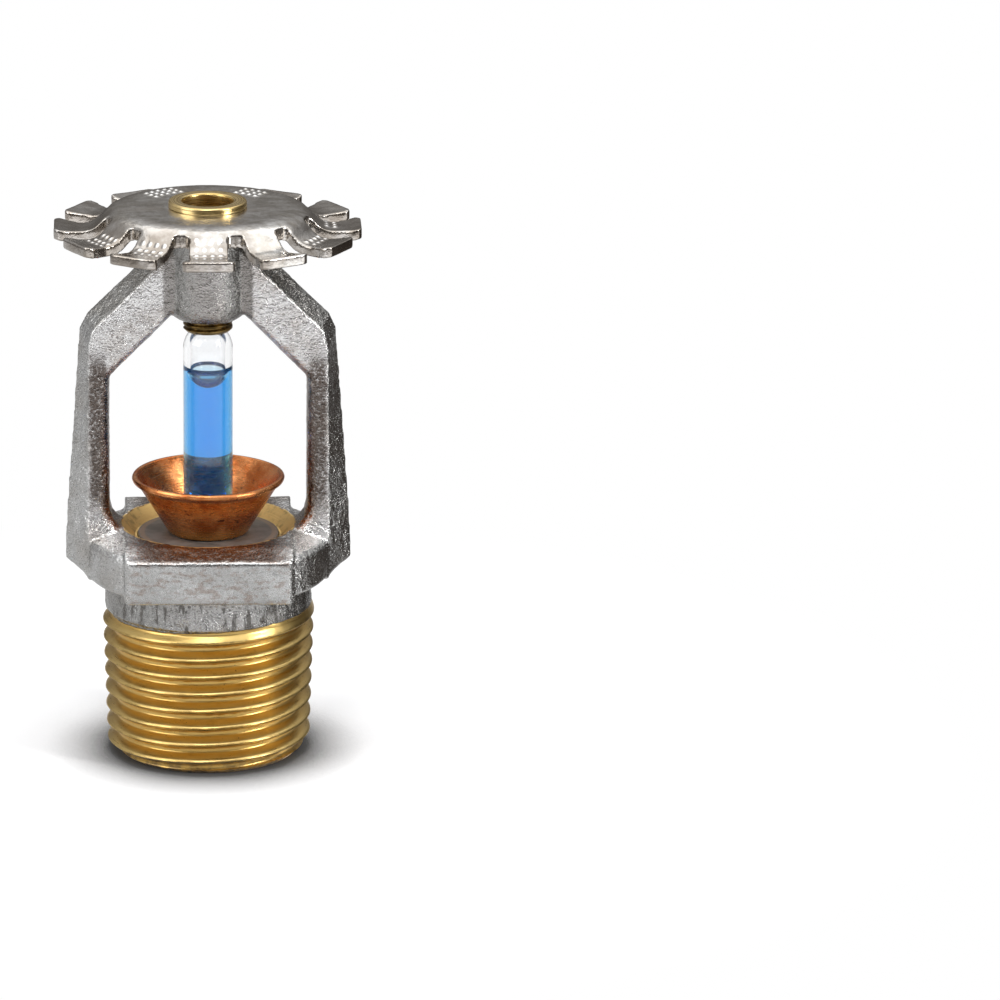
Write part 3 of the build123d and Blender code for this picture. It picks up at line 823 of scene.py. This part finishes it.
# --------------------------------------------------------------------------
# materials
# --------------------------------------------------------------------------
def plated_casting(shader):
    """Colour, roughness and height of the rough plated casting."""
    x, y, z = shader.axes
    wander = shader.value(
        "ShaderNodeTexNoise", {"Vector": shader.point, "Scale": 0.5, "Detail": 1.0}, "Color"
    )
    bent = shader.value(
        "ShaderNodeVectorMath",
        {0: shader.squashed((1.0, 1.0, 1.35)), 1: wander},
        operation="ADD",
    )
    grain = shader.noise(scale=3.4, rough=0.60, vector=bent)
    lump = shader.noise(scale=1.5, detail=2.0, rough=0.5)
    patch = shader.noise(scale=0.24, detail=4.0, rough=0.62)
    soil = shader.noise(scale=0.8, detail=4.0, rough=0.65)
    ragged = (soil - 0.5) * 1.6  # makes the borders of dirt uneven

    # dark strokes, thinned out in patches
    fleck = shader.noise(
        scale=2.6, detail=4.0, rough=0.68, vector=shader.squashed((1.0, 1.0, 1.5), bent)
    )
    thinned = shader.noise(scale=0.55, rough=0.6).step(0.42, 0.60, low=0.25)
    stroke = fleck.step(0.575, 0.64) * thinned

    # faces of the uprights that look towards the axis or away from it; those looking towards the
    # axis get painted shade
    normal_x, _, normal_z = shader.split(shader.value("ShaderNodeNewGeometry", output="Normal"))
    side = abs(x)
    outward = shader.math("SIGN", x) * normal_x
    inward_face_shade = (outward * -1.0).step(0.15, 0.75) * side.step(8.0, 9.0)
    # painted shade along the inner ridge of each upright and on the boss's flanks, stronger on
    # the +X side, and on the boss under the deflector; darker, uneven patches on the
    # upward-tilted bevels
    ragged_side = side + ragged
    ridge_shade = (ragged_side.step(9.9, 10.5) * ragged_side.step(12.5, 11.7)) * (
        z.step(24.0, 28.0) * z.step(43.5, 40.5)
    )
    ragged_x = x + ragged
    shaded_boss = z.step(43.0, 45.5) * side.step(4.7, 4.2)
    flank = boss_side_shade = shader.math(
        "MAXIMUM", ragged_x.step(1.9, 2.9), ragged_x.step(-2.6, -3.4) * 0.65
    )
    flank = boss_side_shade * shaded_boss
    bevel = normal_z.step(0.30, 0.55) * z.step(40.0, 43.0)
    # painted shade, patchy, on the top of the flange between the uprights
    shelf_shade = normal_z.step(0.55, 0.85) * (z.step(22.0, 22.6) * z.step(30.0, 28.5))
    shelf_shade = shelf_shade * (side.step(8.5, 6.0) * soil.step(0.30, 0.55, low=0.55, high=0.90))

    # the flange's two flats: grey with rust, and smoother
    on_flat = abs(y).step(11.25, 11.35) * side.step(8.15, 7.95)
    rust = shader.noise(
        scale=1.15, detail=5.0, rough=0.70, vector=shader.squashed((0.75, 1.0, 1.5))
    ).step(0.48, 0.62)
    grey = shader.mix(patch.step(0.4, 0.6), (0.42, 0.425, 0.42), (0.52, 0.525, 0.52))
    flat_color = shader.mix(rust * 0.70, grey, (0.27, 0.205, 0.17))

    color = shader.coat(
        (0.66, 0.63, 0.60),  # dull plating
        (patch.step(0.34, 0.58), (0.82, 0.815, 0.81)),  # bright plating
        (grain.step(0.45, 0.33) * 0.50, (0.17, 0.135, 0.115)),  # hollows of the grain
        # painted shade on the faces of the uprights that look towards the axis
        (inward_face_shade * patch.step(0.30, 0.55, low=0.45, high=0.80), (0.17, 0.125, 0.10)),
        # painted shade on the ridges and the boss's flanks, and on the whole boss under the
        # deflector
        (ridge_shade * grain.step(0.66, 0.50, low=0.45, high=0.93), (0.105, 0.08, 0.066)),
        (flank * 0.88, (0.10, 0.08, 0.068)),
        (shaded_boss * 0.80, (0.34, 0.325, 0.31)),
        (bevel * soil.step(0.35, 0.60, low=0.45, high=0.85), (0.21, 0.18, 0.155)),
        (stroke * 0.88, (0.10, 0.08, 0.066)),
        # painted shade: faces that look away from x = 0 made darker grey
        (outward.step(0.25, 0.55) * 0.50, (0.30, 0.31, 0.30)),
        (on_flat * 0.88, flat_color),
        # painted shade on the flange top between the uprights
        (shelf_shade, (0.15, 0.10, 0.075)),
    )
    # the raised grain is the smoothest, the flats a little rougher
    rough = shader.blend(grain.step(0.33, 0.47), 0.36, 0.15) + on_flat * 0.12
    height = grain * 0.75 + lump * 0.60 - stroke * 0.10
    return color, rough, shader.blend(on_flat * 0.72, height, 0.5)


def turned_thread(shader):
    """Colour, roughness and height of the turned brass thread."""
    x, y, z = shader.axes
    angle = shader.math("ARCTAN2", y, x)
    helix_z = z - angle * (PITCH / (2 * math.pi))
    depth = THREAD_R0 + z / TAPER - shader.radius()  # below the crest
    marks = shader.tool_marks(x * 0.35, y * 0.35, helix_z * 9.0)
    stain = shader.noise(scale=0.55, detail=4.0, rough=0.65)
    specks = shader.noise(scale=3.2, detail=2.0, rough=0.6)
    # place within a turn: 0 at the groove's centre, 0.5 at the crest
    phase = shader.math("FRACT", (z - PHASE_Z) / PITCH - angle / (2 * math.pi))
    # painted shade on the downward-facing flank under each crest, and a broken painted dark line
    # close to it
    painted_underside_shade = phase.step(0.24, 0.32) * phase.step(0.462, 0.440)
    painted_underside_shade = painted_underside_shade * shader.noise(scale=0.8, rough=0.6).step(0.25, 0.60, low=0.45)
    painted_crest_shade_line = phase.step(0.385, 0.41) * phase.step(0.472, 0.455)
    broken = shader.noise(scale=0.7, detail=4.0, rough=0.7).step(0.40, 0.60, low=0.3, high=0.9)
    worn = depth.step(0.14, 0.03) * shader.noise(0.9, detail=4.0, rough=0.66).step(0.44, 0.60)
    foot = z.step(1.6, 0.2) * shader.noise(scale=0.9, rough=0.6).step(0.38, 0.62)
    color = shader.coat(
        (0.64, 0.45, 0.155),  # crests
        # a more orange copy of the brass in the grooves: painted light standing in for
        # reflections between the flanks
        (depth.step(0.05, 0.9), (0.69, 0.44, 0.12)),  # grooves
        # turning marks painted lighter: partly real marks, partly a painted sheen
        (marks.step(0.35, 0.65, high=0.30), (0.78, 0.60, 0.27)),
        (stain.step(0.56, 0.74, high=0.45), (0.38, 0.22, 0.07)),
        (specks.step(0.70, 0.76, high=0.85), (0.08, 0.05, 0.03)),
        # painted shade under each crest, and a broken painted dark line beside it
        (painted_underside_shade * 0.94, (0.07, 0.045, 0.02)),
        (painted_crest_shade_line * broken, (0.10, 0.07, 0.035)),
        (worn * 0.62, (0.36, 0.24, 0.09)),
        (foot * 0.75, (0.16, 0.11, 0.07)),
    )
    return color, shader.blend(marks, 0.20, 0.42), marks


def casting_material():
    """Rough plating, with bare turned brass on the seat's cone."""
    shader = new_material("frame_casting")
    x, y, z = shader.axes
    color, rough, height = plated_casting(shader)
    radius = shader.radius()
    seat = (radius.step(9.03, 8.93) * z.step(26.5, 26.3)) * z.step(21.5, 21.6)
    cone = seat * (z + shader.noise(scale=0.9) * 0.35).step(24.15, 24.05)
    marks = shader.tool_marks(radius * 7.0, x * 0.2, y * 0.2)
    tarnish = shader.noise(scale=0.8, detail=4.0, rough=0.65).step(0.48, 0.72)
    brass = shader.mix(tarnish, (0.86, 0.62, 0.25), (0.52, 0.37, 0.15))
    shader.metal(
        color=shader.mix(cone, color, brass),
        rough=shader.blend(cone, rough, 0.48),
        height=shader.blend(cone, height, marks * 0.18),
        depth=0.15,
    )
    shader.give(casting)


def thread_material():
    """Brass thread below a slanting, uneven border, streaked plating above it."""
    shader = new_material("frame_thread")
    x, y, z = shader.axes
    plate_color, plate_rough, plate_height = plated_casting(shader)
    brass_color, brass_rough, brass_height = turned_thread(shader)
    radius = shader.radius()
    uneven = (shader.noise(scale=0.9, detail=2.0) - 0.5) * 0.25
    border = 15.05 + (x / radius) * 0.5 + (y / radius) * -0.2 + uneven
    above = z - border
    # the wall of the waterway, at a small radius, stays bare
    plated = above.step(-0.04, 0.04) * radius.step(9.0, 9.2)
    lip = above.step(0.28, 0.0) * plated
    streak = shader.noise(
        scale=1.0, detail=4.0, rough=0.66, vector=shader.squashed((1.1, 1.1, 0.30))
    )
    plate_color = shader.coat(
        (0.14, 0.125, 0.115),  # dark streaks
        (streak.step(0.40, 0.50), plate_color),
        (0.50, (0.19, 0.19, 0.18)),  # darker all over
        (lip * 0.75, (0.20, 0.22, 0.22)),
    )
    shader.metal(
        color=shader.mix(plated, brass_color, plate_color),
        rough=shader.blend(plated, brass_rough, plate_rough),
        height=shader.blend(plated, brass_height * 0.10, plate_height + streak * 1.1),
        depth=0.17,
    )
    shader.give(thread)


def plate_material():
    shader = new_material("deflector_plate")
    x, y, z = shader.axes
    cloud = shader.noise(scale=0.42, detail=4.0, rough=0.62)
    film = shader.noise(scale=0.16, detail=2.0, rough=0.5)
    scuff = shader.noise(scale=1.0, rough=0.6, vector=shader.squashed((3.0, 0.7, 1.0)))
    # painted shade darkens the tines, all but one at the front right, which is left bright as
    # painted light
    around = shader.math("ARCTAN2", y, x)
    painted_lit_tine = around.step(-1.22, -1.12) * around.step(-0.66, -0.76)
    shaded_tines = shader.radius().step(8.6, 10.6) * (1.0 - painted_lit_tine)
    dot = shader.value("ShaderNodeAttribute", output="Fac", attribute_name="dot")
    color = shader.coat(
        (0.52, 0.485, 0.435),  # dull clouds
        (cloud.step(0.34, 0.66), (0.80, 0.78, 0.75)),
        (film.step(0.5, 0.65, high=0.35), (0.58, 0.49, 0.40)),
        # painted shade on the tines, all but the one left bright at the front right
        (shaded_tines * cloud.step(0.3, 0.7, low=0.80, high=0.45), (0.25, 0.215, 0.18)),
        # the raised dots painted near-white: a painted glint on the stamped marks
        (dot.step(0.25, 0.75, high=0.75), (0.84, 0.83, 0.81)),
    )
    shader.metal(
        color=color,
        rough=shader.blend(scuff, 0.10, 0.30),
        height=cloud * 0.9 + shader.noise(scale=3.6, detail=2.0) * 0.16,
        depth=0.09,
        strength=0.8,
    )
    shader.give(plate)


def bushing_material():
    shader = new_material("turned_brass")
    x, y, z = shader.axes
    rings = shader.tool_marks(shader.radius() * 9.0, z * 9.0, x * 0.3)
    stain = shader.noise(scale=0.9, detail=4.0, rough=0.65)
    color = shader.coat(
        (0.52, 0.36, 0.12),  # dark rings
        (rings.step(0.35, 0.65), (0.80, 0.62, 0.30)),
        (stain.step(0.52, 0.72, high=0.6), (0.34, 0.23, 0.09)),
    )
    shader.metal(color, shader.blend(rings, 0.20, 0.36), rings, depth=0.02, strength=0.7)
    shader.give(bushing)


def screw_material():
    shader = new_material("screw_brass")
    age = shader.noise(scale=1.3, detail=4.0, rough=0.6)
    color = shader.mix(age.step(0.38, 0.64), (0.085, 0.055, 0.018), (0.30, 0.20, 0.07))
    grain = shader.noise(scale=5.0)
    shader.metal(color, shader.blend(age, 0.24, 0.46), grain, depth=0.03, strength=0.6)
    shader.give(nodes["load_screw"])


def cup_material():
    shader = new_material("copper_cup")
    x, y, z = shader.axes
    spin = shader.tool_marks(x * 0.25, y * 0.25, z * 6.0)
    tarnish = shader.noise(scale=0.42, detail=4.0, rough=0.6)
    spots = shader.noise(
        scale=0.95, detail=4.0, rough=0.66, vector=shader.squashed((1.0, 1.0, 1.25))
    )
    # spots are strongest round the cup's middle
    belly = z.step(24.4, 25.4) * z.step(27.4, 26.4)
    color = shader.coat(
        (0.50, 0.135, 0.033),  # tarnished copper
        (tarnish.step(0.34, 0.66), (0.75, 0.32, 0.12)),
        (spots.step(0.56, 0.68) * (0.28 + belly * 0.65), (0.10, 0.035, 0.02)),
        (z.step(24.8, 23.2, high=0.45), (0.86, 0.50, 0.14)),  # yellower foot
    )
    shader.metal(
        color=color,
        rough=shader.blend(spin, 0.20, 0.34) + spots.step(0.5, 0.7, high=0.15),
        height=spin * 0.35 + shader.noise(scale=0.8, detail=2.0),
        depth=0.05,
        strength=0.8,
    )
    shader.give(cup)


def insert_material():
    shader = new_material("turned_steel")
    x, y, z = shader.axes
    rings = shader.tool_marks(shader.radius() * 8.0, z * 8.0, 0.0)
    color = shader.mix(rings, (0.42, 0.40, 0.38), (0.66, 0.65, 0.63))
    shader.metal(color, shader.blend(rings, 0.24, 0.42), rings, depth=0.02, strength=0.7)
    shader.give(insert)


def spring_material():
    shader = new_material("spring_alloy")
    haze = shader.noise(scale=0.7, detail=4.0, rough=0.6)
    color = shader.mix(haze, (0.30, 0.27, 0.25), (0.56, 0.54, 0.52))
    shader.metal(color, shader.blend(haze, 0.30, 0.50), haze, depth=0.03, strength=0.6)
    shader.give(spring)


def film_material():
    """Dark film, browner in a ring just inside its outer edge."""
    shader = new_material("seal_film")
    radius = shader.radius()
    haze = shader.noise(scale=0.55, detail=4.0, rough=0.62)
    rim = radius.step(6.35, 6.6) * radius.step(7.1, 6.9)
    color = shader.coat(
        (0.080, 0.070, 0.063),
        (haze.step(0.3, 0.7), (0.165, 0.150, 0.138)),
        (rim * 0.6, (0.25, 0.17, 0.11)),
    )
    rough = shader.blend(haze, 0.40, 0.62)
    shader.metal(color, rough, haze, depth=0.05, strength=0.6, metallic=0.0)
    shader.give(film_top, film_bottom)


def see_through(shader, surface, tint):
    """The surface for the eye, a clear tinted sheet for shadow rays."""
    is_shadow = shader.value("ShaderNodeLightPath", output="Is Shadow Ray")
    clear = shader.value("ShaderNodeBsdfTransparent", {"Color": tint})
    shader.connect(shader.mix_shader(is_shadow, surface, clear))


def glass_material():
    shader = new_material("bulb_glass")
    z = shader.axes[2]
    dust = shader.noise(scale=2.8, detail=2.0, rough=0.6)
    # where liquid touches the glass the inner wall hardly reflects
    near_hollow = shader.radius().step(HOLLOW_R + 0.20, HOLLOW_R + 0.10)
    wetted = near_hollow * z.step(LIQUID_TOP + 0.05, LIQUID_TOP - 0.05)
    inputs = {
        "Base Color": shader.mix(dust.step(0.72, 0.78), (0.985, 0.992, 1.0), (0.75, 0.78, 0.80)),
        "Roughness": dust.step(0.70, 0.80, high=0.12),
        "IOR": 1.47,
        "Specular IOR Level": shader.blend(wetted, 0.5, 0.0),
        "Transmission Weight": 1.0,
        "Normal": shader.bump(shader.noise(scale=0.5, detail=1.0), depth=0.02, strength=0.25),
    }
    see_through(shader, shader.value("ShaderNodeBsdfPrincipled", inputs), (0.93, 0.95, 0.97))
    shader.give(bulb)


def liquid_material():
    shader = new_material("bulb_liquid")
    z = shader.axes[2]
    swirl = shader.noise(scale=0.35, detail=2.0, rough=0.5)
    # the sides and the round lower end, which lie against the glass
    touching = shader.math(
        "MAXIMUM",
        shader.radius().step(LIQUID_R - 0.004, LIQUID_R - 0.001),
        z.step(BULB_FOOT_Z + 0.5, BULB_FOOT_Z),
    )
    inputs = {
        "Base Color": shader.mix(swirl, (0.93, 0.97, 1.0), (0.97, 1.0, 1.0)),
        "Specular IOR Level": shader.blend(touching, 0.5, 0.0),
        "Roughness": 0.0,
        "IOR": 1.42,
        "Transmission Weight": 1.0,
        "Normal": shader.bump(swirl, depth=0.01, strength=0.2),
    }
    clear = shader.value("ShaderNodeBsdfPrincipled", inputs)
    milk = shader.value("ShaderNodeBsdfDiffuse", {"Color": (0.10, 0.34, 0.62)})
    see_through(shader, shader.mix_shader(0.06, clear, milk), (1.0, 1.0, 1.0))
    # the dye absorbs by depth, so thin liquid is pale cyan and thick liquid is blue
    dye = {"Color": (0.043, 0.713, 0.961), "Density": 1150.0}
    shader.connect(shader.value("ShaderNodeVolumeAbsorption", dye), 1)
    shader.give(liquid)


casting_material()
thread_material()
plate_material()
bushing_material()
screw_material()
cup_material()
insert_material()
spring_material()
film_material()
glass_material()
liquid_material()


# --------------------------------------------------------------------------
# floor, light and camera, in metres
# --------------------------------------------------------------------------
def build_floor():
    mesh = bpy.data.meshes.new("floor")
    with editing(mesh) as edit:
        bmesh.ops.create_grid(edit, x_segments=8, y_segments=8, size=4.0)
    floor = bpy.data.objects.new("floor", mesh)
    floor.location = (0, 2.0, -0.00002)
    scene.collection.objects.link(floor)
    return floor


def floor_in_reflections(shader):
    """The floor's colour as reflections show it, by distance and direction from the axis."""
    x, y, _ = shader.split(shader.value("ShaderNodeNewGeometry", output="Position"))
    around = shader.math("ARCTAN2", x, y * -1.0)  # 0 in front, positive to the right
    reach = shader.length(x, y)
    reflected_dark_patch = around.step(1.28, 1.50) * around.step(2.75, 2.35) * reach.step(0.024, 0.040)
    reflected_white_strip = around.step(0.92, 1.04) * around.step(1.26, 1.16)
    front = abs(around).step(1.05, 0.70) * reach.step(0.075, 0.115)
    return shader.coat(
        (0.50, 0.495, 0.49),
        (front, (0.92, 0.92, 0.93)),
        (reach.step(0.20, 0.34), (0.13, 0.12, 0.115)),  # dark far away
        (reflected_dark_patch, (0.045, 0.038, 0.034)),  # painted dark patch, seen only in reflections, at the right and behind
        (reflected_white_strip * reach.step(0.30, 0.20), (1.0, 1.0, 1.0)),  # painted white strip, seen only in reflections, at the front right
    )


def floor_material(floor):
    """White paper near the object, fading into an even white sweep that only the eye sees."""
    shader = new_material("floor")
    rays = shader.node("ShaderNodeLightPath").outputs
    is_camera, is_glossy, is_transmission = (
        Value(shader, rays[f"Is {kind} Ray"]) for kind in ("Camera", "Glossy", "Transmission")
    )
    paper = shader.mix(is_glossy, (0.86, 0.86, 0.865), floor_in_reflections(shader))
    position = shader.value("ShaderNodeNewGeometry", output="Position")
    away = shader.value(
        "ShaderNodeVectorMath", {0: position, 1: (0.0, 0.0, 0.0)}, "Value", operation="DISTANCE"
    )
    sweep = shader.math("MAXIMUM", is_camera, is_transmission) * away.step(0.016, 0.080)
    # painted contact shadow: the floor darkened round whatever stands on it, by ambient
    # occlusion, for the eye only
    near = shader.value("ShaderNodeAmbientOcclusion", {"Distance": 0.012}, "AO", samples=8)
    painted_contact_shadow = shader.math("MAXIMUM", near.step(0.50, 0.92, low=0.12), 1.0 - is_camera)
    lit = shader.value("ShaderNodeBsdfDiffuse", {"Color": shader.scaled(paper, painted_contact_shadow)})
    white = shader.value("ShaderNodeEmission", {"Color": (1, 1, 1), "Strength": painted_contact_shadow})
    shader.connect(shader.mix_shader(sweep, lit, white))
    shader.give(floor)


def build_world():
    """A studio room: bright above and at the left, dark in front and at the right."""
    world = bpy.data.worlds.new("studio")
    scene.world = world
    shader = Graph(world, "ShaderNodeOutputWorld")
    x, y, z = shader.split(shader.value("ShaderNodeTexCoord", output="Generated"))
    around = shader.math("ARCTAN2", x, y * -1.0)
    left = x.step(-0.35, -0.85) * z.step(0.85, 0.1)
    front = y.step(-0.25, -0.8) * z.step(0.60, 0.30)
    right = around.step(1.35, 1.6) * around.step(2.6, 2.1) * z.step(0.7, 0.3)
    rays = shader.node("ShaderNodeLightPath").outputs
    # seen through the bulb: white at the horizon, dark blue above
    through = shader.mix(z.step(0.02, 0.13), (1.15, 1.15, 1.15), (0.10, 0.14, 0.22))
    room = shader.coat(
        (0.20, 0.19, 0.18),  # low walls
        (z.step(0.15, 0.80), (0.85, 0.86, 0.88)),
        (left * 0.7, (0.85, 0.85, 0.87)),
        (front * 0.9, (0.060, 0.052, 0.048)),
        (right * 0.92, (0.045, 0.038, 0.034)),
        (Value(shader, rays["Is Transmission Ray"]), through),
        (Value(shader, rays["Is Camera Ray"]), (1.18, 1.18, 1.18)),
    )
    shader.connect(shader.value("ShaderNodeBackground", {"Color": room, "Strength": 0.85}))


LIGHT_TARGET = (0, 0, 0.03)
# name, place, width and height, watts
LIGHTS = [
    ("key_right", (0.42, -0.24, 0.26), (0.08, 0.24), 1.5),
    ("fill_left", (-0.50, -0.25, 0.34), (0.40, 0.40), 1.6),
    ("top", (0.02, 0.05, 0.62), (0.90, 0.90), 3.0),
    ("spark", (-0.06, -0.34, 0.50), (0.12, 0.12), 0.55),
]


def build_lights():
    for name, place, size, watts in LIGHTS:
        light = bpy.data.lights.new(name, "AREA")
        light.shape = "RECTANGLE"
        light.size, light.size_y = size
        light.energy = watts
        lamp = add_object(name, light)
        lamp.location = place
        aim = Vector(LIGHT_TARGET) - Vector(place)
        lamp.rotation_euler = aim.to_track_quat("-Z", "Y").to_euler()


CAMERA_PLACE = (-0.0048592, -0.6499379, 0.2223021)
# radians: yaw from +Y towards +X, pitch downwards, roll about the line of sight
YAW, PITCH_DOWN, ROLL = 0.0532, 0.2928, 0.0113


def build_camera():
    lens = bpy.data.cameras.new("camera")
    lens.sensor_width = 36.0
    lens.lens = 239.796
    lens.clip_start, lens.clip_end = 0.01, 50.0
    camera = add_object("camera", lens)
    level = math.cos(PITCH_DOWN)
    ahead = Vector((math.sin(YAW) * level, math.cos(YAW) * level, -math.sin(PITCH_DOWN)))
    right = Vector((math.cos(YAW), -math.sin(YAW), 0))
    above = right.cross(ahead)
    rolled_right = right * math.cos(ROLL) + above * math.sin(ROLL)
    rolled_above = -right * math.sin(ROLL) + above * math.cos(ROLL)
    pose = Matrix((rolled_right, rolled_above, -ahead)).transposed().to_4x4()
    pose.translation = Vector(CAMERA_PLACE)
    camera.matrix_world = pose
    scene.camera = camera


floor_material(build_floor())
build_world()
build_lights()
build_camera()

scene.view_settings.view_transform = "Standard"
scene.view_settings.look = "None"
scene.cycles.max_bounces = 14
scene.cycles.transmission_bounces = 12
scene.cycles.glossy_bounces = 5
scene.cycles.transparent_max_bounces = 12
